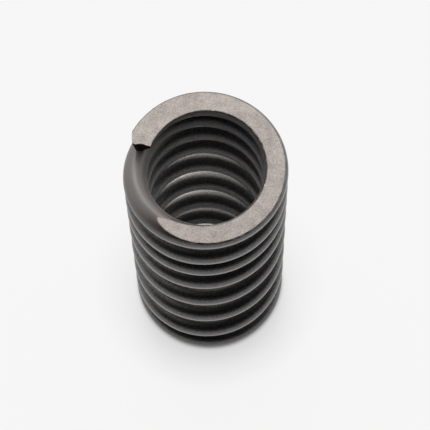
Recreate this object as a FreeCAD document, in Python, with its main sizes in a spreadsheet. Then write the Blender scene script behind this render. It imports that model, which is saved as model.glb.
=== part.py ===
# Valve spring of an engine: one round steel wire, coiled right-handed.
# Both ends are closed onto the next coil, sheared off and ground flat, so the spring stands square
# between the cylinder head and the retainer. The coils near the top lie closer together than those
# below. Millimetres, +Z up along the coil's axis, origin at the middle of the bottom ground face.
import FreeCAD
import Part

import math
import os

from FreeCAD import Placement, Rotation, Vector

# Driving dimensions
# Closed coils nest by the wire's own thickness, so each ratio is a number of wire diameters, and
# each pitch ratio is the number of them that one turn comes down.
DIMENSIONS = {
    "outer_dia": 26.0,               # over the coils
    "wire_dia": 3.8,
    "free_length": 57.0,             # between the ground faces, unloaded
    "total_turns": 8.15,             # from one sheared end to the other
    "tip_angle": 158.5,              # degrees from +X to the upper sheared end
    "tip_depth_ratio": 0.10,         # wire centre under the ground face, at the sheared end
    "tip_gap_ratio": 0.05,           # between the sheared end and the coil under it
    "tip_pitch_ratio": 1.33,         # at the sheared end, which was bent over
    "seat_pitch_ratio": 0.0,         # level stretch that seats on the next part
    "leaving_pitch_ratio": 1.75,     # just past the step from the closed coil to the next
    "tight_pitch_ratio": 1.4,        # closest of the upper coils
    "middle_pitch_ratio": 1.7,
}

# Where along the wire each pitch holds, in turns from the sheared end
SEAT_START_TURNS = 0.33
SEAT_END_TURNS = 0.66
STEP_TURNS = 0.92
LEAVING_TURNS = 1.07
TIGHT_TURNS = 1.9
MIDDLE_TURNS = 3.0
OPEN_START_TURNS = 4.0         # from the upper end
OPEN_END_TURNS = 1.7           # from the lower end

# The shears left a slanted end with its outer corner crushed. Seen from above, this is its
# outline as (outwards, ahead) of the wire's middle, in wire radii.
SHEARED_END_RATIOS = [(-1.3, -0.13), (-0.16, -0.13), (0.52, 0.27), (1.3, -1.4)]
OFFCUT_LENGTH_RATIO = 0.42     # wire radii of wire drawn past each end, which the shears take off
OFFCUT_REACH_RATIO = 0.62      # wire radii by which the shears' cut reaches past the end
PATH_POINTS_PER_TURN = 8


def make_sheet(document):
    """Spreadsheet with one aliased cell for each driving dimension."""
    sheet = document.addObject("Spreadsheet::Sheet", "Dimensions")
    for row, (alias, value) in enumerate(DIMENSIONS.items(), start=1):
        sheet.set("A" + str(row), alias)
        sheet.set("B" + str(row), str(value))
        sheet.setAlias("B" + str(row), alias)
    document.recompute()
    return sheet


def solve_straight_line(value_at, wanted):
    """Input that brings a function whose graph is a straight line to the wanted value."""
    value_at_zero = value_at(0.0)
    return (wanted - value_at_zero) / (value_at(1.0) - value_at_zero)


def mean_radius(sheet):
    """Radius of the coil, measured to the middle of the wire."""
    return (sheet.outer_dia - sheet.wire_dia) / 2


def offcut_turns(sheet):
    """Turns of wire drawn past each sheared end."""
    return OFFCUT_LENGTH_RATIO * sheet.wire_dia / 2 / (2 * math.pi * mean_radius(sheet))


def closed_end(sheet, step_pitch):
    """List of (turn, pitch ratio) from just past a sheared end to the next coil."""
    return [
        (-offcut_turns(sheet), sheet.tip_pitch_ratio),
        (0.0, sheet.tip_pitch_ratio),
        (SEAT_START_TURNS, sheet.seat_pitch_ratio),
        (SEAT_END_TURNS, sheet.seat_pitch_ratio),
        (STEP_TURNS, step_pitch),
        (LEAVING_TURNS, sheet.leaving_pitch_ratio),
    ]


def pitch_stations(sheet):
    """List of (turn, pitch ratio) from the upper end down, with straight ramps between them."""
    # The first turn comes down by one wire and the gap under the sheared end.
    step_pitch = solve_straight_line(
        lambda pitch: drop_between(closed_end(sheet, pitch), 0.0, 1.0),
        1.0 + sheet.tip_gap_ratio,
    )
    turns = sheet.total_turns
    top = closed_end(sheet, step_pitch)
    bottom = [(turns - turn, pitch) for turn, pitch in reversed(top)]

    def whole_spring(open_pitch):
        upper_coils = [
            (TIGHT_TURNS, sheet.tight_pitch_ratio),
            (MIDDLE_TURNS, sheet.middle_pitch_ratio),
        ]
        open_coils = [(OPEN_START_TURNS, open_pitch), (turns - OPEN_END_TURNS, open_pitch)]
        return top + upper_coils + open_coils + bottom

    # The open coils take what is left of the free length.
    whole_drop = sheet.free_length / sheet.wire_dia - 2 * sheet.tip_depth_ratio
    return whole_spring(solve_straight_line(
        lambda pitch: drop_between(whole_spring(pitch), 0.0, turns), whole_drop))


def pitch_at(stations, turn):
    """Pitch ratio at a place along the wire."""
    for (start, before), (end, after) in zip(stations, stations[1:]):
        if turn <= end:
            return before + (after - before) * (turn - start) / (end - start)
    return stations[-1][1]


def drop_between(stations, start, end):
    """How far the wire comes down between two places, in wire diameters."""
    marks = [start] + [turn for turn, _ in stations if start < turn < end] + [end]
    return sum(
        (pitch_at(stations, a) + pitch_at(stations, b)) / 2 * (b - a)
        for a, b in zip(marks, marks[1:])
    )


def arc_from_tangent(start, tangent, end):
    """Arc that leaves start along tangent and arrives at end."""
    chord = end - start
    side = tangent - chord * (tangent.dot(chord) / chord.dot(chord))
    side.normalize()
    rise = chord.Length / 2 * math.tan(tangent.getAngle(chord) / 2)
    return Part.Arc(start, (start + end) / 2 + side * rise, end).toShape()


def tangent_arcs(start, start_tangent, end, end_tangent):
    """Two arcs that meet smoothly between two path points and their tangents."""
    chord = end - start
    turning = 2 * (1 - start_tangent.dot(end_tangent))
    along = chord.dot(start_tangent + end_tangent)
    reach = (math.sqrt(along ** 2 + turning * chord.dot(chord)) - along) / turning
    middle = (start + end + (start_tangent - end_tangent) * reach) / 2
    return [
        arc_from_tangent(start, start_tangent, middle),
        arc_from_tangent(end, end_tangent * -1, middle),
    ]


def path_point(sheet, stations, turn):
    """Point on the wire's centre line and its tangent, which points down the wire."""
    radius = mean_radius(sheet)
    angle = math.radians(sheet.tip_angle - 360 * turn)
    start = stations[0][0]
    drop = drop_between(stations, start, turn) - drop_between(stations, start, 0.0)
    depth = sheet.wire_dia * (sheet.tip_depth_ratio + drop)
    fall = sheet.wire_dia * pitch_at(stations, turn) / (2 * math.pi)
    point = Vector(
        radius * math.cos(angle), radius * math.sin(angle), sheet.free_length - depth)
    tangent = Vector(radius * math.sin(angle), -radius * math.cos(angle), -fall)
    tangent.normalize()
    return point, tangent


def make_wire_path(document, points):
    """Centre line of the wire as a chain of tangent arcs."""
    edges = []
    for (start, start_tangent), (end, end_tangent) in zip(points, points[1:]):
        edges += tangent_arcs(start, start_tangent, end, end_tangent)
    path = document.addObject("Part::Feature", "WirePath")
    path.Shape = Part.Wire(edges)
    return path


def make_wire_section(document, points):
    """Round section of the wire at its upper end."""
    end, tangent = points[0]
    section = document.addObject("Part::Circle", "WireSection")
    section.setExpression("Radius", "Dimensions.wire_dia / 2")
    section.Placement = Placement(end, Rotation(Vector(0, 0, 1), tangent))
    return section


def make_coiled_wire(document, section, path):
    """The wire as it leaves the coiling machine, before its ends are sheared and ground."""
    coiled = document.addObject("Part::Sweep", "CoiledWire")
    coiled.Sections = [section]
    coiled.Spine = (path, [])
    coiled.Solid = True
    coiled.Frenet = False
    return coiled


def make_offcut(document, name, sheet, stations, turn, up):
    """What the shears take off one end, from the gap over the next coil outwards."""
    middle, tangent = path_point(sheet, stations, turn)
    outwards = Vector(middle.x, middle.y, 0)
    outwards.normalize()
    # Up is the side of the ground face, so the wire's end always lies this way round.
    ahead = up.cross(outwards)
    wire_radius = sheet.wire_dia / 2
    gap_depth = sheet.wire_dia * (1 + sheet.tip_gap_ratio) / 2
    mean_pitch = (pitch_at(stations, 0.0) + pitch_at(stations, 1.0)) / 2
    gap_slope = sheet.wire_dia * mean_pitch / (2 * math.pi * mean_radius(sheet))

    first, last = SHEARED_END_RATIOS[0], SHEARED_END_RATIOS[-1]
    outline = SHEARED_END_RATIOS + [
        (last[0], OFFCUT_REACH_RATIO),
        (first[0], OFFCUT_REACH_RATIO),
    ]
    profile = document.addObject("Part::Polygon", name + "Profile")
    profile.Nodes = [
        middle
        + outwards * (side * wire_radius)
        + ahead * (reach * wire_radius)
        + up * (reach * wire_radius * gap_slope - gap_depth)
        for side, reach in outline
    ]
    profile.Close = True
    offcut = document.addObject("Part::Extrusion", name)
    offcut.Base = profile
    offcut.DirMode = "Custom"
    offcut.Dir = up
    offcut.setExpression("LengthFwd", "Dimensions.wire_dia * 1.5")
    offcut.Solid = True
    offcut.FaceMakerClass = "Part::FaceMakerExtrusion"
    return offcut


def make_sheared_wire(document, coiled, offcuts):
    """The coiled wire without its offcuts."""
    wire = coiled
    for number, offcut in enumerate(offcuts, start=1):
        sheared = document.addObject("Part::Cut", "ShearedWire" + str(number))
        sheared.Base = wire
        sheared.Tool = offcut
        wire = sheared
    return wire


def make_grinding_gap(document):
    """Space between the two grinding wheels: what lies outside it is ground away."""
    gap = document.addObject("Part::Box", "GrindingGap")
    gap.setExpression("Length", "Dimensions.outer_dia * 1.5")
    gap.setExpression("Width", "Dimensions.outer_dia * 1.5")
    gap.setExpression("Height", "Dimensions.free_length")
    gap.setExpression("Placement.Base.x", "Dimensions.outer_dia * -0.75")
    gap.setExpression("Placement.Base.y", "Dimensions.outer_dia * -0.75")
    return gap


def make_spring(document, wire, gap):
    """The finished spring, ground flat at both ends."""
    spring = document.addObject("Part::Common", "coil_spring")
    spring.Base = wire
    spring.Tool = gap
    spring.Label = "coil_spring"
    spring.Placement = Placement()
    return spring


def check(document):
    """Stop if any object failed or has no sound shape."""
    for thing in document.Objects:
        if "Invalid" in thing.State or "Error" in thing.State:
            raise RuntimeError(thing.Label + " failed")
        if hasattr(thing, "Shape") and (thing.Shape.isNull() or not thing.Shape.isValid()):
            raise RuntimeError(thing.Label + " has no valid shape")


document = FreeCAD.newDocument("ValveSpring")
dimensions = make_sheet(document)
wire_stations = pitch_stations(dimensions)
wire_start = wire_stations[0][0]
wire_turns = wire_stations[-1][0] - wire_start
wire_steps = round(wire_turns * PATH_POINTS_PER_TURN)
wire_points = [
    path_point(dimensions, wire_stations, wire_start + wire_turns * step / wire_steps)
    for step in range(wire_steps + 1)
]
wire_path = make_wire_path(document, wire_points)
wire_section = make_wire_section(document, wire_points)
coiled_wire = make_coiled_wire(document, wire_section, wire_path)
upper_offcut = make_offcut(
    document, "UpperOffcut", dimensions, wire_stations, 0.0, Vector(0, 0, 1))
lower_offcut = make_offcut(
    document, "LowerOffcut", dimensions, wire_stations, dimensions.total_turns,
    Vector(0, 0, -1))
sheared_wire = make_sheared_wire(document, coiled_wire, [upper_offcut, lower_offcut])
grinding_gap = make_grinding_gap(document)
coil_spring = make_spring(document, sheared_wire, grinding_gap)
document.recompute()
check(document)

section_area = math.pi * dimensions.wire_dia ** 2 / 4
print("wire length", round(wire_path.Shape.Length, 2), "mm")
print("coiled volume over section times length",
      round(coiled_wire.Shape.Volume / (section_area * wire_path.Shape.Length), 5))
print("spring volume", round(coil_spring.Shape.Volume, 1), "mm3")

os.makedirs("parts", exist_ok=True)
for part in [coil_spring]:
    part.Shape.exportStep("parts/" + part.Label + ".step")
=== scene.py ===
# %% [markdown]
# A valve spring of a car engine, standing on a pale table in soft studio light. The real spring is
# one steel wire: coiled on a machine, sheared off, oil-tempered, ground flat at both ends and
# peened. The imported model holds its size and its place. This lesson loads it first, makes the same
# wire again with a finer surface, and gives it its finish.

import math

import bmesh
import bpy
from mathutils import Matrix, Vector, noise


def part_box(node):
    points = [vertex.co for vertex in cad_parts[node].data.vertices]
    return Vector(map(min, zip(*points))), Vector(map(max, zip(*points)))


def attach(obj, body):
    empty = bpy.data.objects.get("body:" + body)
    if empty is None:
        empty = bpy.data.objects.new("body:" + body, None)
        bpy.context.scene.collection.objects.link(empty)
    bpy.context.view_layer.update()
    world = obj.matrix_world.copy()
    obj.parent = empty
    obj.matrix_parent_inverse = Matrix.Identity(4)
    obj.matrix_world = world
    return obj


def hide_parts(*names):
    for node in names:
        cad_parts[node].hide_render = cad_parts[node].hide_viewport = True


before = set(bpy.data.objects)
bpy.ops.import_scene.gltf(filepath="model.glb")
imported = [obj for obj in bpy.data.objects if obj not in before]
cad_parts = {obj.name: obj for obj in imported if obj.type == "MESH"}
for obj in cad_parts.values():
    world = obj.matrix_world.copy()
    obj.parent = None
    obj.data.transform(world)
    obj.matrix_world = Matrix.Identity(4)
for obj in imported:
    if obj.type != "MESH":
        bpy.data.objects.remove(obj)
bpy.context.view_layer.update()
spring_low, spring_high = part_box("coil_spring")
print("packed spring, mm", [round(1000 * side, 2) for side in spring_high - spring_low])

# %% [markdown]
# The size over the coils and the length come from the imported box. The wire's thickness and the way
# its pitch changes are the maker's own figures, so they are named here once. A closed coil nests by
# the wire's own thickness, which is why every pitch is told in wire diameters for one turn. Places
# along the wire are told in turns from its upper end.

# %% Sizes of the coil
MM = 0.001
FREE_LENGTH = spring_high.z - spring_low.z
OUTER_RADIUS = (spring_high.x - spring_low.x + spring_high.y - spring_low.y) / 4
WIRE = 3.8 * MM
WIRE_RADIUS = WIRE / 2
COIL_RADIUS = OUTER_RADIUS - WIRE_RADIUS
TURN_LENGTH = 2 * math.pi * COIL_RADIUS
TOTAL_TURNS = 8.15
END_ANGLE = math.radians(158.5)
END_DEPTH = 0.10
END_GAP = 0.05
END_PITCH = 1.33
LEAVING_PITCH = 1.75
TIGHT_PITCH = 1.4
MIDDLE_PITCH = 1.7
SEAT_FROM, SEAT_TO = 0.33, 0.66
STEPPED, LEFT = 0.92, 1.07
TIGHT, MIDDLE, OPEN_FROM = 1.9, 3.0, 4.0
OPEN_TO = TOTAL_TURNS - 1.7
PAST_END = -0.1
print("outer radius, mm", round(OUTER_RADIUS / MM, 3), "one turn of wire, mm", round(TURN_LENGTH / MM, 2))

# %% [markdown]
# The wire comes down slowly on the level seat of a closed end, steps over to the next coil, lies
# close for two coils and then opens out. One curve with a single pitch, which the Screw modifier
# gives, can't say that. A list of places with straight ramps between them can. Two of its pitches
# are not free: the step has to clear one wire, and the open coils have to make up the free length.
# Both follow from two trial sums, because the sums grow in a straight line.

# %% How the wire comes down
def pitch_at(stations, turn):
    """Pitch at a place along the wire, in wire diameters for one turn."""
    for (start, before), (end, after) in zip(stations, stations[1:]):
        if turn <= end:
            return before + (after - before) * (turn - start) / (end - start)
    return stations[-1][1]


def drop_to(stations, turn):
    """How far the wire has come down from its upper end, in wire diameters."""
    marks = [0.0] + [place for place, _ in stations if 0.0 < place < turn] + [turn]
    return sum((pitch_at(stations, a) + pitch_at(stations, b)) / 2 * (b - a)
               for a, b in zip(marks, marks[1:]))


def solve_straight_line(value_at, wanted):
    """Input that brings a function whose graph is a straight line to the wanted value."""
    return (wanted - value_at(0.0)) / (value_at(1.0) - value_at(0.0))


def closed_end(step_pitch):
    """Places and pitches from a sheared end to the coil next to it."""
    return [(PAST_END, END_PITCH), (0.0, END_PITCH), (SEAT_FROM, 0.0), (SEAT_TO, 0.0),
            (STEPPED, step_pitch), (LEFT, LEAVING_PITCH)]


def whole_spring(step_pitch, open_pitch):
    """Places and pitches from the upper end to the lower one."""
    top = closed_end(step_pitch)
    bottom = [(TOTAL_TURNS - turn, pitch) for turn, pitch in reversed(top)]
    coils = [(TIGHT, TIGHT_PITCH), (MIDDLE, MIDDLE_PITCH), (OPEN_FROM, open_pitch), (OPEN_TO, open_pitch)]
    return top + coils + bottom


step = solve_straight_line(lambda pitch: drop_to(closed_end(pitch), 1.0), 1 + END_GAP)
whole_drop = FREE_LENGTH / WIRE - 2 * END_DEPTH
opening = solve_straight_line(lambda pitch: drop_to(whole_spring(step, pitch), TOTAL_TURNS), whole_drop)
PITCHES = whole_spring(step, opening)
print("step pitch", round(step, 3), "open pitch", round(opening, 3), "wires")

# %% [markdown]
# Every point of the wire is given by how far along it lies and where it lies on the round section.
# A matrix puts the section at its place: its X axis points out of the coil, its Y axis up and its
# Z axis along the wire, so the section stays square to the wire on every slope.

# %% Place of the section along the wire
def section_at(turn):
    """Matrix that puts the wire's section at a place along the wire."""
    angle = END_ANGLE - 2 * math.pi * turn
    drop = drop_to(PITCHES, turn) if turn > 0 else END_PITCH * turn
    height = FREE_LENGTH - WIRE * (END_DEPTH + drop)
    fall = WIRE * pitch_at(PITCHES, turn) / (2 * math.pi)
    outward = Vector((math.cos(angle), math.sin(angle), 0))
    ahead = Vector((COIL_RADIUS * outward.y, -COIL_RADIUS * outward.x, -fall)).normalized()
    upward = ahead.cross(outward)
    turned = Matrix((outward, upward, ahead)).transposed().to_4x4()
    return Matrix.Translation(outward * COIL_RADIUS + Vector((0, 0, height))) @ turned


print("upper end of the wire, mm", [round(part / MM, 2) for part in section_at(0.0).translation])

# %% [markdown]
# The real wire is fed round a bending tool, and the mesh grows the same way. A round section is
# extruded one step and carried on to its next place, again and again, until the lower end. A curve
# with a bevel would be quicker, but its rings can't be told from each other afterwards, and the ends
# still have to be shaped. Each point also remembers where it lay in the straight wire, as an
# attribute. A pattern on it runs along the wire without a seam, however the wire is coiled.

# %% Coil the wire
ROUND_SIDES = 48
STEPS_PER_TURN = 108
wire_mesh = bmesh.new()
STRAIGHT = wire_mesh.verts.layers.float_vector.new("straight_wire")


def remember_place(points, turn):
    """Keeps where points of one section lay in the straight wire."""
    back = section_at(turn).inverted()
    for vert in points:
        side, height, _ = back @ vert.co
        vert[STRAIGHT] = (side, height, turn * TURN_LENGTH)


def coil_wire(bm):
    """Extrudes the section along the whole wire and returns its rings with their places."""
    steps = round(TOTAL_TURNS * STEPS_PER_TURN)
    places = [TOTAL_TURNS * step / steps for step in range(steps + 1)]
    start = section_at(places[0])
    ring = bmesh.ops.create_circle(bm, segments=ROUND_SIDES, radius=WIRE_RADIUS, matrix=start)["verts"]
    remember_place(ring, places[0])
    rings = [(places[0], ring)]
    edges = bm.edges[:]
    for before, after in zip(places, places[1:]):
        grown = bmesh.ops.extrude_edge_only(bm, edges=edges)["geom"]
        ring = [part for part in grown if isinstance(part, bmesh.types.BMVert)]
        moved = section_at(after) @ section_at(before).inverted()
        bmesh.ops.transform(bm, matrix=moved, verts=ring)
        remember_place(ring, after)
        edges = [part for part in grown
                 if isinstance(part, bmesh.types.BMEdge) and all(v in ring for v in part.verts)]
        rings.append((after, ring))
    return rings


wire_rings = coil_wire(wire_mesh)
print("coiled wire:", len(wire_rings), "rings,", len(wire_mesh.faces), "faces")

# %% [markdown]
# The shears broke the wire off before it was ground. Its end is slanted and torn, its outer corner
# is crushed, and lower down the steel was pulled out into a belly. It could be cut with a boolean,
# but a torn end is easier as a relief, which says how far the tear reaches along the wire at each
# point of the round section. A bent line gives the slant and the crushed corner, a bow that grows
# downwards gives the belly, and noise gives the torn grain.

# %% Relief of the torn end, in wire radii
TEAR_KNEES = [(-1.6, -0.21), (-0.16, -0.21), (0.52, 0.19), (1.6, -2.12)]
TEAR_SOFTNESS = 0.2
BELLY_MIDDLE = -0.1
BELLY_INWARD, BELLY_OUTWARD = 0.62, 0.65
BELLY_REACH, BELLY_FALL = 0.12, 0.42
BELLY_GROWTH = 1.5
TEAR_ROUGHNESS, TEAR_GRAIN = 0.12 * MM, 0.9 * MM
TEAR_FRACTAL = (0.6, 2.2, 4)


def knee_reach(across):
    """Reach of the torn end from the inner side of the wire to its outer side."""
    for (start, before), (end, after) in zip(TEAR_KNEES, TEAR_KNEES[1:]):
        if across <= end:
            return before + (after - before) * (across - start) / (end - start)
    return TEAR_KNEES[-1][1]


def tear_reach(side, height, seed):
    """How far the torn end reaches past its middle, at a point of the section."""
    across = side / WIRE_RADIUS
    spread = (-TEAR_SOFTNESS, 0.0, TEAR_SOFTNESS)
    knee = sum(knee_reach(across + shift) for shift in spread) / len(spread)
    depth = min(max(-height / WIRE_RADIUS, 0.0), 1.0)
    half = BELLY_OUTWARD if across > BELLY_MIDDLE else BELLY_INWARD
    belly = (BELLY_REACH - BELLY_FALL * ((across - BELLY_MIDDLE) / half) ** 2) * depth ** BELLY_GROWTH
    grain = Vector((side / TEAR_GRAIN, height / TEAR_GRAIN, seed))
    return (knee + belly) * WIRE_RADIUS + TEAR_ROUGHNESS * noise.fractal(grain, *TEAR_FRACTAL)


print("reach of the tear from the bore outwards, mm",
      [round(tear_reach(part * WIRE_RADIUS, 0, 1) / MM, 2) for part in (-1, 0, 0.5, 1)])

# %% [markdown]
# Each end is closed with rings of points, so that the relief has points to show on. Every one of them
# slides along the wire by as much as the tear reaches there. The last few millimetres of the wire
# slide with it, less and less, so that nothing folds over.

# %% Shear the ends
TEAR_BLEND = 4.0 * MM
CAP_RINGS = 9
WIRE_SKIN, GROUND_FACE, TORN_FACE = 0, 1, 2


def shear_end(bm, rings, lower):
    """Closes one end of the wire, slides its points to the torn relief and returns the torn faces."""
    end = TOTAL_TURNS if lower else 0.0
    way = 1 if lower else -1
    near = [(turn, ring) for turn, ring in rings if abs(turn - end) * TURN_LENGTH < TEAR_BLEND]
    ring = near[-1 if lower else 0][1]
    edges = [edge for edge in bm.edges if edge.is_boundary and all(v in ring for v in edge.verts)]
    cap = bmesh.ops.contextual_create(bm, geom=edges)["faces"]
    inner = []
    for _ in range(CAP_RINGS):
        before = set(bm.verts)
        bmesh.ops.inset_region(bm, faces=cap, thickness=WIRE_RADIUS / (CAP_RINGS + 1),
                               use_even_offset=True, use_boundary=True)
        inner += [v for v in bm.verts if v not in before]
    inner += bmesh.ops.poke(bm, faces=cap)["verts"]
    remember_place(inner, end)
    for turn, points in near + [(end, inner)]:
        fade = 1 - abs(turn - end) * TURN_LENGTH / TEAR_BLEND
        back = section_at(turn).inverted()
        for vert in points:
            side, height, _ = back @ vert.co
            slide = way * fade * tear_reach(side, height, way) / TURN_LENGTH
            vert.co = section_at(turn + slide) @ Vector((side, height, 0))
    return [face for face in bm.faces if all(v in inner or v in ring for v in face.verts)]


for lower_end in (False, True):
    torn = shear_end(wire_mesh, wire_rings, lower_end)
    for face in torn:
        face.material_index = TORN_FACE
    print("lower" if lower_end else "upper", "sheared end:", len(torn), "faces")

# %% [markdown]
# Both ends are then ground on a flat stone, which leaves a bright flat face most of the way round.
# Grinding also leaves a small ragged burr, so noise shifts the points of the ground edge in and out,
# by less than a tenth of a millimetre, and up to twice that along one stretch of the bore. A shift
# sideways keeps the face flat, which noise on all three axes wouldn't. Each point also keeps half the
# width that the ground face has there, for the finish of its rim. Where the ground face meets the
# torn end, the edge is rough enough already, so it stays as it is.

# %% Burr of the ground edge
BURR, BURR_GRAIN = 0.06 * MM, 0.7 * MM
BURR_FRACTAL = (0.7, 2.0, 3)
RAGGED_BURR = 0.12 * MM
RAGGED_ANGLE, RAGGED_SPREAD = math.radians(22), math.radians(24)
THIN_WEB = 0.5 * MM
TIP_HALF_WIDTH = math.sqrt(WIRE_RADIUS ** 2 - (END_DEPTH * WIRE) ** 2)
HALF_WIDTH = wire_mesh.verts.layers.float.new("half_width")


def rag_edge(vert):
    """Shifts a point of the ground edge in or out, and keeps the half width of the face there."""
    radius = math.hypot(vert.co.x, vert.co.y)
    side = radius - COIL_RADIUS
    vert[HALF_WIDTH] = abs(side)
    if any(face.material_index == TORN_FACE for face in vert.link_faces):
        vert[HALF_WIDTH] = TIP_HALF_WIDTH
        return
    burr = BURR
    if side < 0:
        turned = math.atan2(vert.co.y, vert.co.x) - RAGGED_ANGLE
        burr += RAGGED_BURR * math.exp(-(turned / RAGGED_SPREAD) ** 2)
    shift = burr * min(1.0, abs(side) / THIN_WEB) * noise.fractal(vert.co / BURR_GRAIN, *BURR_FRACTAL)
    vert.co.x *= 1 + shift / radius
    vert.co.y *= 1 + shift / radius


print("half width of the ground face at the torn end, mm", round(TIP_HALF_WIDTH / MM, 2))

# %% [markdown]
# A plane cuts the mesh at each end and takes away what lies outside. The open edge gets more points,
# to carry the burr. The torn edge gets none in line with its own, because the faces on both sides of
# it would then be cut into the same slivers. One face closes the edge, and its outline is a long
# crescent. An inset would fold over at the crescent's thin end, so upright cuts through the axis make
# sectors of it instead, over which its half width spreads evenly. A face of the wire's side that now
# has several points on the edge is poked, so that each side of the edge has triangles of its own.

# %% Grind the ends flat
EDGE_CUTS = 2
SECTORS = 54
PLANE_SNAP, SECTOR_SNAP = 0.0001 * MM, 0.005 * MM


def grind_end(bm, height, outside):
    """Cuts the wire at a height, roughens the edge, closes it flat and returns the flat's sectors."""
    geometry = bm.verts[:] + bm.edges[:] + bm.faces[:]
    bmesh.ops.bisect_plane(bm, geom=geometry, dist=PLANE_SNAP, plane_co=(0, 0, height),
                           plane_no=(0, 0, outside), clear_outer=True)
    smooth_edge = [edge for edge in bm.edges
                   if edge.is_boundary and edge.link_faces[0].material_index != TORN_FACE]
    bmesh.ops.subdivide_edges(bm, edges=smooth_edge, cuts=EDGE_CUTS)
    outline = [edge for edge in bm.edges if edge.is_boundary]
    for vert in {v for edge in outline for v in edge.verts}:
        rag_edge(vert)
    flat = bmesh.ops.contextual_create(bm, geom=outline)["faces"]
    for number in range(SECTORS):
        angle = math.pi * number / SECTORS
        around = dict.fromkeys(part for face in flat for part in (*face.verts, *face.edges))
        cut = bmesh.ops.bisect_plane(bm, geom=flat + list(around), dist=SECTOR_SNAP,
                                     plane_co=(0, 0, 0), plane_no=(-math.sin(angle), math.cos(angle), 0))
        flat = [part for part in cut["geom"] if isinstance(part, bmesh.types.BMFace)]
    for face in flat:
        face.material_index = GROUND_FACE
    rim = {vert for face in flat for vert in face.verts}
    bordering = [face for face in bm.faces
                 if face.material_index != GROUND_FACE and sum(vert in rim for vert in face.verts) > 2]
    for centre in bmesh.ops.poke(bm, faces=bordering)["verts"]:
        corners = [edge.other_vert(centre)[STRAIGHT] for edge in centre.link_edges]
        centre[STRAIGHT] = sum(corners, Vector()) / len(corners)
    return flat


for end_height, outside in ((FREE_LENGTH, 1), (0.0, -1)):
    ground = grind_end(wire_mesh, end_height, outside)
    ground_area = sum(face.calc_area() for face in ground) / MM ** 2
    print("ground face:", len(ground), "sectors,", round(ground_area, 1), "mm2")

# %% [markdown]
# The finished mesh becomes one object, because the real spring is one piece. Its place is in its
# mesh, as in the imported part, so the object itself sits at the origin. The wire is shaded smooth,
# and its ground and torn ends keep sharp edges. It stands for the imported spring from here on.

# %% Make the spring's object
def make_piece(name, bm):
    """Object at the origin that holds a finished mesh."""
    mesh = bpy.data.meshes.new(name)
    bm.to_mesh(mesh)
    bm.free()
    piece = bpy.data.objects.new(name, mesh)
    bpy.context.scene.collection.objects.link(piece)
    return piece


bmesh.ops.recalc_face_normals(wire_mesh, faces=wire_mesh.faces)
for face in wire_mesh.faces:
    face.smooth = face.material_index == WIRE_SKIN
for edge in wire_mesh.edges:
    edge.smooth = len({face.material_index for face in edge.link_faces}) < 2
spring = make_piece("spring_wire", wire_mesh)
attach(spring, "root")
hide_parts("coil_spring")
print("spring:", len(spring.data.polygons), "faces")

# %% [markdown]
# Materials are built from nodes. Three small helpers keep the cells short. One turns a colour as it
# is written on a screen into the light that the renderer counts, one starts an empty material, and
# one adds a node, sets its settings and wires it up. A Mix node has an A and a B for every kind of
# data, so its colour sockets are named here by their numbers.

# %% Material helpers
def colour(code):
    """Linear colour of an sRGB hex code."""
    parts = [int(code[place:place + 2], 16) / 255 for place in (1, 3, 5)]
    return [p / 12.92 if p <= 0.04045 else ((p + 0.055) / 1.055) ** 2.4 for p in parts] + [1.0]


def add_node(tree, kind, settings=None, links=None):
    """Adds a node, sets its own settings or its sockets, and links the sockets named or numbered."""
    node = tree.nodes.new(kind)
    for name, value in (settings or {}).items():
        if isinstance(name, str) and hasattr(node, name):
            setattr(node, name, value)
        else:
            node.inputs[name].default_value = value
    for name, source in (links or {}).items():
        tree.links.new(source, node.inputs[name])
    return node


def new_material(name):
    """Empty material with its output node."""
    material = bpy.data.materials.new(name)
    material.use_nodes = True
    material.node_tree.nodes.clear()
    output = material.node_tree.nodes.new("ShaderNodeOutputMaterial")
    return material, material.node_tree, output


MIX_A, MIX_B, MIX_RESULT = 6, 7, 2
print("a mid grey on screen is", round(colour("#808080")[0], 3), "in light")

# %% [markdown]
# The wire is oil-tempered spring steel. It was heated and quenched in oil, which leaves a thin black
# oxide with a trace of oil on it, and small shot then peened it to a satin. Along it run faint marks
# of the drawing die. Real die marks are finer and real shot dents are shallower than these, but
# neither would show here. The marks are noise drawn out along the wire, on each point's place in the
# straight wire, so they follow every coil. The dents are the same in every direction.

# %% Marks of the die and of the shot
DIE_MARK, DIE_MARK_LENGTH = 0.12 * MM, 9.0 * MM
SHOT_DENT, SHOT_DENT_DEPTH = 0.30 * MM, 0.035 * MM


def die_marks(tree, straight):
    """Faint streaks, fine across the wire and long along it."""
    stretched = add_node(tree, "ShaderNodeMapping",
                         {"Scale": (1 / DIE_MARK, 1 / DIE_MARK, 1 / DIE_MARK_LENGTH)},
                         {"Vector": straight})
    return add_node(tree, "ShaderNodeTexNoise", {"Scale": 1.0, "Detail": 3.0},
                    {"Vector": stretched.outputs["Vector"]}).outputs["Fac"]


def shot_dents(tree, place):
    """Small dents with no direction."""
    return add_node(tree, "ShaderNodeTexNoise", {"Scale": 1 / SHOT_DENT, "Detail": 2.0},
                    {"Vector": place}).outputs["Fac"]


print("die marks", round(DIE_MARK_LENGTH / DIE_MARK), "times as long as wide")

# %% [markdown]
# On the coil that steps down under the sheared tip lies a film of grinding dust. It is lighter,
# browner and duller than the oxide and hides the metal's shine. It could be painted by hand, but it
# only has to begin and end softly at four places along the wire, in turns from the upper end. Noise
# then makes it thinner in patches.

# %% Grinding dust
DUST_TURNS = (0.72, 0.84, 1.0, 1.14)
DUST_PATCH = 2.5 * MM
THIN_FROM, THIN_TO = 0.2, 0.6
THINNEST_DUST = 0.7
DUST_COLOUR = "#5a5450"
SMOOTHLY = {"interpolation_type": "SMOOTHSTEP"}


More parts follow.
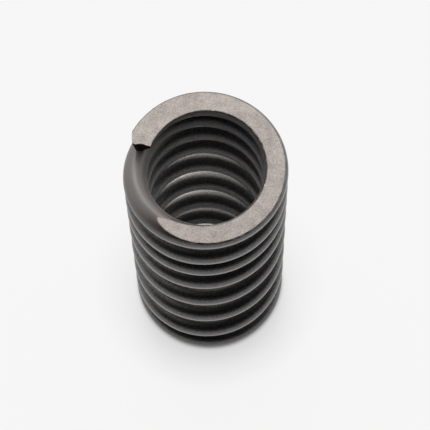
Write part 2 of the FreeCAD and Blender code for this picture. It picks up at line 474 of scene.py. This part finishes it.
def dust_cover(tree, place, along):
    """How much of the oxide the dust hides, from 0 to 1."""
    start, full, thinning, end = (turns * TURN_LENGTH for turns in DUST_TURNS)
    begins = add_node(tree, "ShaderNodeMapRange", {**SMOOTHLY, "From Min": start, "From Max": full},
                      {"Value": along})
    stops = add_node(tree, "ShaderNodeMapRange",
                     {**SMOOTHLY, "From Min": thinning, "From Max": end, "To Min": 1.0, "To Max": 0.0},
                     {"Value": along})
    band = add_node(tree, "ShaderNodeMath", {"operation": "MULTIPLY"},
                    {0: begins.outputs["Result"], 1: stops.outputs["Result"]})
    patches = add_node(tree, "ShaderNodeTexNoise", {"Scale": 1 / DUST_PATCH, "Detail": 4.0},
                       {"Vector": place})
    thickness = add_node(tree, "ShaderNodeMapRange",
                         {**SMOOTHLY, "From Min": THIN_FROM, "From Max": THIN_TO,
                          "To Min": THINNEST_DUST},
                         {"Value": patches.outputs["Fac"]})
    return add_node(tree, "ShaderNodeMath", {"operation": "MULTIPLY"},
                    {0: band.outputs["Value"], 1: thickness.outputs["Result"]}).outputs["Value"]


print("dust, mm along the wire", [round(turns * TURN_LENGTH / MM) for turns in DUST_TURNS])

# %% [markdown]
# Right at the ground faces the stone's heat tinted the oxide brown. Both faces are level, so the tint
# follows from the height alone. Measured from the middle of the spring, up or down, it begins a
# little short of half the length and grows up to the face.

# %% Heat tint
HEAT_FULL, HEAT_GONE = 0.1 * MM, 0.6 * MM
HEAT_TINT, HEAT_COLOUR = 0.5, "#3b2b25"


def heat_tint(tree, height):
    """How much the heat tinted the oxide, from 0 to its strongest."""
    middle = add_node(tree, "ShaderNodeMath", {"operation": "SUBTRACT", 1: FREE_LENGTH / 2}, {0: height})
    off = add_node(tree, "ShaderNodeMath", {"operation": "ABSOLUTE"}, {0: middle.outputs["Value"]})
    return add_node(tree, "ShaderNodeMapRange",
                    {**SMOOTHLY, "From Min": FREE_LENGTH / 2 - HEAT_GONE,
                     "From Max": FREE_LENGTH / 2 - HEAT_FULL, "To Max": HEAT_TINT},
                    {"Value": off.outputs["Value"]}).outputs["Result"]


print("heat tint reaches", round(HEAT_GONE / MM, 2), "mm from the ground faces")

# %% [markdown]
# To the eye, oil-tempered wire is a nearly black metal with soft highlights. Its rims shine more than
# bare steel's, so the oil film is a coat over the metal. The dents thin the oxide and give it a fine
# mottle. Where dust lies, the surface is less of a metal, rougher and less oily.

# %% Oil-tempered wire
DENT_SHARE = 0.75
OXIDE_TONES = ((0.36, "#333130"), (0.64, "#5a5756"))
MARK_LOW, MARK_HIGH = 0.3, 0.7
SMOOTHEST_DRAWN, ROUGHEST_DRAWN = 0.37, 0.43
OIL_ROUGHNESS = 0.33
METAL_IN_DUST, OIL_IN_DUST, DUST_ROUGHNESS = 0.2, 0.6, 0.50


def make_oil_tempered_wire():
    """Spring steel with the dark oxide of oil tempering under a trace of oil."""
    material, tree, output = new_material("oil_tempered_spring_steel")
    place = add_node(tree, "ShaderNodeTexCoord").outputs["Object"]
    straight = add_node(tree, "ShaderNodeAttribute", {"attribute_name": "straight_wire"}).outputs["Vector"]
    height = add_node(tree, "ShaderNodeSeparateXYZ", links={"Vector": place}).outputs["Z"]
    along = add_node(tree, "ShaderNodeSeparateXYZ", links={"Vector": straight}).outputs["Z"]
    marks, dents = die_marks(tree, straight), shot_dents(tree, place)
    dust, heat = dust_cover(tree, place, along), heat_tint(tree, height)

    mottle = add_node(tree, "ShaderNodeMix", {"data_type": "FLOAT", "Factor": DENT_SHARE},
                      {"A": marks, "B": dents})
    oxide = add_node(tree, "ShaderNodeValToRGB", links={"Fac": mottle.outputs["Result"]})
    for stop, (mark, tone) in zip(oxide.color_ramp.elements, OXIDE_TONES):
        stop.position, stop.color = mark, colour(tone)
    dusty = add_node(tree, "ShaderNodeMix", {"data_type": "RGBA", MIX_B: colour(DUST_COLOUR)},
                     {"Factor": dust, MIX_A: oxide.outputs["Color"]})
    tinted = add_node(tree, "ShaderNodeMix", {"data_type": "RGBA", MIX_B: colour(HEAT_COLOUR)},
                      {"Factor": heat, MIX_A: dusty.outputs[MIX_RESULT]})

    satin = add_node(tree, "ShaderNodeMapRange",
                     {"From Min": MARK_LOW, "From Max": MARK_HIGH,
                      "To Min": SMOOTHEST_DRAWN, "To Max": ROUGHEST_DRAWN}, {"Value": marks})
    dull = add_node(tree, "ShaderNodeMix", {"data_type": "FLOAT", "B": DUST_ROUGHNESS},
                    {"Factor": dust, "A": satin.outputs["Result"]})
    bare = add_node(tree, "ShaderNodeMapRange", {"To Min": 1.0, "To Max": METAL_IN_DUST}, {"Value": dust})
    oiled = add_node(tree, "ShaderNodeMapRange", {"To Min": 1.0, "To Max": OIL_IN_DUST}, {"Value": dust})
    bump = add_node(tree, "ShaderNodeBump", {"Strength": 0.6, "Distance": SHOT_DENT_DEPTH},
                    {"Height": dents})
    shader = add_node(tree, "ShaderNodeBsdfPrincipled", {"Coat Roughness": OIL_ROUGHNESS},
                      {"Base Color": tinted.outputs[MIX_RESULT], "Metallic": bare.outputs["Result"],
                       "Roughness": dull.outputs["Result"], "Normal": bump.outputs["Normal"],
                       "Coat Weight": oiled.outputs["Result"]})
    tree.links.new(shader.outputs["BSDF"], output.inputs["Surface"])
    return material


spring.data.materials.append(make_oil_tempered_wire())
print("finish:", spring.data.materials[WIRE_SKIN].name)

# %% [markdown]
# The edge of each ground face is a little rounded over, and the shade on that rounding is painted as
# a thin darker rim. Along it a bright fleck shows here and there, a painted glint off a nick in the
# burr. The rim could be a strip of faces, but the crescent gets too thin for one. Instead, every
# point of the face knows the half width of the crescent there. That, less how far the point lies
# from the coil's middle circle, is its distance from the edge.

# %% Rim of a ground face
# The rim's darker colour is painted shade on the rounded edge, and the nicks' bright colour is a painted
# glint.
RIM_WIDTH, RIM_SHADE = 0.20 * MM, 0.65
NICK, NICK_DEPTH = 0.6 * MM, 0.22 * MM
NICK_FROM, NICK_TO = 0.67, 0.75
RIM_SHADE_COLOUR, NICK_GLINT_COLOUR = "#4c4743", "#d6d0ca"


def from_ground_edge(tree, place):
    """Distance of a point of a ground face from the face's own edge."""
    half = add_node(tree, "ShaderNodeAttribute", {"attribute_name": "half_width"}).outputs["Fac"]
    level = add_node(tree, "ShaderNodeVectorMath", {"operation": "MULTIPLY", 1: (1, 1, 0)}, {0: place})
    radius = add_node(tree, "ShaderNodeVectorMath", {"operation": "LENGTH"}, {0: level.outputs["Vector"]})
    side = add_node(tree, "ShaderNodeMath", {"operation": "SUBTRACT", 1: COIL_RADIUS},
                    {0: radius.outputs["Value"]})
    off = add_node(tree, "ShaderNodeMath", {"operation": "ABSOLUTE"}, {0: side.outputs["Value"]})
    return add_node(tree, "ShaderNodeMath", {"operation": "SUBTRACT"},
                    {0: half, 1: off.outputs["Value"]}).outputs["Value"]


def rim_shade_and_nick_glints(tree, place):
    """How much of the painted rim shade and of the painted nick glints shows at a point."""
    inside = from_ground_edge(tree, place)
    rim = add_node(tree, "ShaderNodeMapRange",
                   {**SMOOTHLY, "From Max": RIM_WIDTH, "To Min": RIM_SHADE, "To Max": 0.0},
                   {"Value": inside})
    brink = add_node(tree, "ShaderNodeMapRange",
                     {**SMOOTHLY, "From Max": NICK_DEPTH, "To Min": 1.0, "To Max": 0.0}, {"Value": inside})
    breaks = add_node(tree, "ShaderNodeTexNoise", {"Scale": 1 / NICK, "Detail": 1.0}, {"Vector": place})
    broken = add_node(tree, "ShaderNodeMapRange", {**SMOOTHLY, "From Min": NICK_FROM, "From Max": NICK_TO},
                      {"Value": breaks.outputs["Fac"]})
    nick_glint = add_node(tree, "ShaderNodeMath", {"operation": "MULTIPLY"},
                    {0: brink.outputs["Result"], 1: broken.outputs["Result"]})
    return rim.outputs["Result"], nick_glint.outputs["Value"]


print("rim of the ground faces, mm", round(RIM_WIDTH / MM, 2))

# %% [markdown]
# The ends are bare spring steel from a face-grinding stone. The stone turned under the spring in all
# directions, so there are no long scratches, only a fine matt grain and some larger, uneven patches.
# To the eye it is a warm grey with a soft shine. The real grit is a little finer, and is drawn as
# coarse as the picture can show.

# %% Ground ends
GRIT, GRIT_PATCH = 0.23 * MM, 1.6 * MM
GRIT_DEPTH = 0.006 * MM
PATCH_SHARE = 0.35
STEEL_TONES = ((0.32, "#8b847f"), (0.68, "#c0b8b2"))
STONE_ROUGHNESS = 0.59


def make_ground_steel():
    """Bare spring steel, matt and fine-grained from the grinding stone."""
    material, tree, output = new_material("face_ground_spring_steel")
    place = add_node(tree, "ShaderNodeTexCoord").outputs["Object"]
    rim, nick_glint = rim_shade_and_nick_glints(tree, place)
    grain = add_node(tree, "ShaderNodeTexNoise", {"Scale": 1 / GRIT, "Detail": 2.0, "Roughness": 0.6},
                     {"Vector": place}).outputs["Fac"]
    patches = add_node(tree, "ShaderNodeTexNoise", {"Scale": 1 / GRIT_PATCH, "Detail": 3.0},
                       {"Vector": place}).outputs["Fac"]
    blend = add_node(tree, "ShaderNodeMix", {"data_type": "FLOAT", "Factor": PATCH_SHARE},
                     {"A": grain, "B": patches})
    steel = add_node(tree, "ShaderNodeValToRGB", links={"Fac": blend.outputs["Result"]})
    for stop, (mark, tone) in zip(steel.color_ramp.elements, STEEL_TONES):
        stop.position, stop.color = mark, colour(tone)
    # Painted shade along the rim, then painted glints at the nicks.
    rim_shaded = add_node(tree, "ShaderNodeMix", {"data_type": "RGBA", MIX_B: colour(RIM_SHADE_COLOUR)},
                      {"Factor": rim, MIX_A: steel.outputs["Color"]})
    with_nick_glints = add_node(tree, "ShaderNodeMix", {"data_type": "RGBA", MIX_B: colour(NICK_GLINT_COLOUR)},
                      {"Factor": nick_glint, MIX_A: rim_shaded.outputs[MIX_RESULT]})
    bump = add_node(tree, "ShaderNodeBump", {"Strength": 0.4, "Distance": GRIT_DEPTH}, {"Height": grain})
    shader = add_node(tree, "ShaderNodeBsdfPrincipled", {"Metallic": 1.0, "Roughness": STONE_ROUGHNESS},
                      {"Base Color": with_nick_glints.outputs[MIX_RESULT], "Normal": bump.outputs["Normal"]})
    tree.links.new(shader.outputs["BSDF"], output.inputs["Surface"])
    return material


spring.data.materials.append(make_ground_steel())
print("finish:", spring.data.materials[GROUND_FACE].name)

# %% [markdown]
# The torn end is a rough fracture in the same spring steel. Its near-black colour is painted shade,
# for the shadow it lies in below the ground face, and the crystals vary that tone a little. To the
# eye it has no highlights at all. Its roughness is real relief in the mesh, and a bump adds the
# crystals of the fracture. Real ones are too fine to show here, so they are drawn larger.

# %% Torn end
FRACTURE_GRAIN, FRACTURE_DEPTH = 0.35 * MM, 0.05 * MM
FRACTURE_ROUGHNESS = 0.75
# Near-black tones: painted shade for the shadow the torn end lies in, varied a little by the crystals.
FRACTURE_SHADE_TONES = ((0.35, "#262322"), (0.7, "#47423f"))


def make_torn_steel():
    """Sheared end of the wire, a rough fracture painted near black as shade."""
    material, tree, output = new_material("sheared_steel_painted_shade")
    place = add_node(tree, "ShaderNodeTexCoord").outputs["Object"]
    crystals = add_node(tree, "ShaderNodeTexNoise", {"Scale": 1 / FRACTURE_GRAIN, "Detail": 3.0},
                        {"Vector": place}).outputs["Fac"]
    # Painted shade: the fracture's colour is kept nearly black.
    painted_dark_fracture = add_node(tree, "ShaderNodeValToRGB", links={"Fac": crystals})
    for stop, (mark, tone) in zip(painted_dark_fracture.color_ramp.elements, FRACTURE_SHADE_TONES):
        stop.position, stop.color = mark, colour(tone)
    bump = add_node(tree, "ShaderNodeBump", {"Strength": 0.6, "Distance": FRACTURE_DEPTH},
                    {"Height": crystals})
    shader = add_node(tree, "ShaderNodeBsdfPrincipled", {"Metallic": 1.0, "Roughness": FRACTURE_ROUGHNESS},
                      {"Base Color": painted_dark_fracture.outputs["Color"], "Normal": bump.outputs["Normal"]})
    tree.links.new(shader.outputs["BSDF"], output.inputs["Surface"])
    return material


spring.data.materials.append(make_torn_steel())
print("finish:", spring.data.materials[TORN_FACE].name)

# %% [markdown]
# The table is a plain pale sheet, far larger than the view. A matt sheet alone would need so much
# light that the spring would burn out, so part of its look is its own white, which only the camera
# and the reflections see. The rest is lit and keeps the spring's soft shadow. That white grows from
# the coils outwards, so the shadow is strong at the foot of the spring and soon gone. It stops just
# short of the coils, so that the table inside the bore stays as dark as it is. The sheet lies a hair
# below the spring, because two faces in one plane would flicker through each other.

# %% Table
TABLE_SIDE, TABLE_DROP = 6.0, 0.02 * MM
SHADE_RADIUS, NEAR_RADIUS, FAR_RADIUS = 12.3 * MM, 13.6 * MM, 21 * MM
NEAR_WHITE, FAR_WHITE = 0.66, 0.95
TABLE_TINT, TABLE_WHITE = "#f5f5f5", "#f7f7f7"
table_mesh = bmesh.new()
bmesh.ops.create_grid(table_mesh, x_segments=1, y_segments=1, size=TABLE_SIDE / 2,
                      matrix=Matrix.Translation((0, 0, -TABLE_DROP)))
table = make_piece("table", table_mesh)


def make_table_laminate():
    """Pale matt laminate, the same in every direction."""
    material, tree, output = new_material("pale_matt_laminate")
    place = add_node(tree, "ShaderNodeTexCoord").outputs["Object"]
    paths = add_node(tree, "ShaderNodeLightPath").outputs
    seen = add_node(tree, "ShaderNodeMath", {"operation": "MAXIMUM"},
                    {0: paths["Is Camera Ray"], 1: paths["Is Glossy Ray"]})
    seen = add_node(tree, "ShaderNodeMath", {"operation": "MAXIMUM"},
                    {0: seen.outputs["Value"], 1: paths["Is Transmission Ray"]})
    radius = add_node(tree, "ShaderNodeVectorMath", {"operation": "LENGTH"}, {0: place}).outputs["Value"]
    near = add_node(tree, "ShaderNodeMapRange",
                    {**SMOOTHLY, "From Min": SHADE_RADIUS, "From Max": NEAR_RADIUS,
                     "To Max": NEAR_WHITE}, {"Value": radius})
    grown = add_node(tree, "ShaderNodeMapRange",
                     {"From Min": NEAR_RADIUS, "From Max": FAR_RADIUS,
                      "To Max": FAR_WHITE - NEAR_WHITE}, {"Value": radius})
    white_share = add_node(tree, "ShaderNodeMath", {"operation": "ADD"},
                           {0: near.outputs["Result"], 1: grown.outputs["Result"]})
    share = add_node(tree, "ShaderNodeMath", {"operation": "MULTIPLY"},
                     {0: seen.outputs["Value"], 1: white_share.outputs["Value"]})
    matt = add_node(tree, "ShaderNodeBsdfDiffuse", {"Color": colour(TABLE_TINT)})
    white = add_node(tree, "ShaderNodeEmission", {"Color": colour(TABLE_WHITE), "Strength": 1.0})
    mixed = add_node(tree, "ShaderNodeMixShader",
                     links={0: share.outputs["Value"], 1: matt.outputs["BSDF"],
                            2: white.outputs["Emission"]})
    tree.links.new(mixed.outputs["Shader"], output.inputs["Surface"])
    return material


table.data.materials.append(make_table_laminate())
print("table side, m", TABLE_SIDE)

# %% [markdown]
# The studio is bright behind the spring and dark in front of it. One softbox stands behind, low
# enough to draw a line of light along the top of each coil, and the pale wall behind fills in. The
# dark front is what keeps the flanks nearly black, as on the real spring. Together they light a
# level surface just under full strength, so a colour renders about as it is written.

# %% Light
SOFTBOX_BEARING, SOFTBOX_HEIGHT = math.radians(97), math.radians(32)
SOFTBOX_DISTANCE, SOFTBOX_SIDE = 0.85, 0.40
SOFTBOX_RADIANCE = 6.0
SOFTBOX_WATTS = SOFTBOX_RADIANCE * math.pi * SOFTBOX_SIDE ** 2
LIT_HEIGHT = 0.8 * FREE_LENGTH
WALL_FROM, WALL_TO = -0.35, 0.25
WALL_STRENGTH, DARK_STRENGTH = 1.5, 0.03
CEILING_FROM, CEILING_TO, CEILING_SHARE = 0.1, 0.6, 0.85


def add_softbox(name, target, towards):
    """Square studio lamp that stands off from a target and points at it."""
    lamp = bpy.data.lights.new(name, "AREA")
    lamp.shape = "SQUARE"
    lamp.size = SOFTBOX_SIDE
    lamp.energy = SOFTBOX_WATTS
    softbox = bpy.data.objects.new(name, lamp)
    softbox.location = target + towards * SOFTBOX_DISTANCE
    softbox.rotation_euler = towards.to_track_quat("Z", "Y").to_euler()
    bpy.context.scene.collection.objects.link(softbox)


def make_studio():
    """World that is pale behind the spring and dark in front of it."""
    world = bpy.data.worlds.new("studio")
    world.use_nodes = True
    tree = world.node_tree
    tree.nodes.clear()
    place = add_node(tree, "ShaderNodeTexCoord").outputs["Generated"]
    split = add_node(tree, "ShaderNodeSeparateXYZ", links={"Vector": place}).outputs
    wall = add_node(tree, "ShaderNodeMapRange",
                    {**SMOOTHLY, "From Min": WALL_FROM, "From Max": WALL_TO,
                     "To Min": DARK_STRENGTH, "To Max": WALL_STRENGTH}, {"Value": split["Y"]})
    ceiling = add_node(tree, "ShaderNodeMapRange",
                       {"From Min": CEILING_FROM, "From Max": CEILING_TO, "To Min": 1.0,
                        "To Max": CEILING_SHARE}, {"Value": split["Z"]})
    level = add_node(tree, "ShaderNodeMath", {"operation": "MULTIPLY"},
                     {0: wall.outputs["Result"], 1: ceiling.outputs["Result"]})
    sky = add_node(tree, "ShaderNodeBackground", {"Color": colour("#ffffff")},
                   {"Strength": level.outputs["Value"]})
    add_node(tree, "ShaderNodeOutputWorld", links={"Surface": sky.outputs["Background"]})
    return world


towards_softbox = Vector((math.cos(SOFTBOX_BEARING) * math.cos(SOFTBOX_HEIGHT),
                          math.sin(SOFTBOX_BEARING) * math.cos(SOFTBOX_HEIGHT),
                          math.sin(SOFTBOX_HEIGHT)))
add_softbox("key_softbox", Vector((0, 0, LIT_HEIGHT)), towards_softbox)
bpy.context.scene.world = make_studio()
bpy.context.scene.view_settings.view_transform = "Standard"
print("softbox, watts", round(SOFTBOX_WATTS, 2))

# %% [markdown]
# The camera looks steeply down at the spring from the front, through a long lens, so the bore shows
# all the way down and the sides hardly converge. Its place was found by matching the outline of the
# coils. It is turned about its own axis by a degree or two, as a hand-set camera is.

# %% Camera
LENS, SENSOR = 185.27, 36.0
CAMERA_PLACE = Vector((1.288, -121.209, 379.673)) * MM
DOWNWARD_LOOK = math.radians(70.658)
CAMERA_ROLL = math.radians(-1.7555)
CLOSEST_SEEN = 0.01
camera_data = bpy.data.cameras.new("camera")
camera_data.lens = LENS
camera_data.sensor_width = SENSOR
camera_data.clip_start = CLOSEST_SEEN
camera = bpy.data.objects.new("camera", camera_data)
camera.matrix_world = (Matrix.Translation(CAMERA_PLACE)
                       @ Matrix.Rotation(math.pi / 2 - DOWNWARD_LOOK, 4, "X")
                       @ Matrix.Rotation(CAMERA_ROLL, 4, "Z"))
bpy.context.scene.collection.objects.link(camera)
bpy.context.scene.camera = camera
print("camera to spring, mm", round((CAMERA_PLACE - Vector((0, 0, FREE_LENGTH / 2))).length / MM))
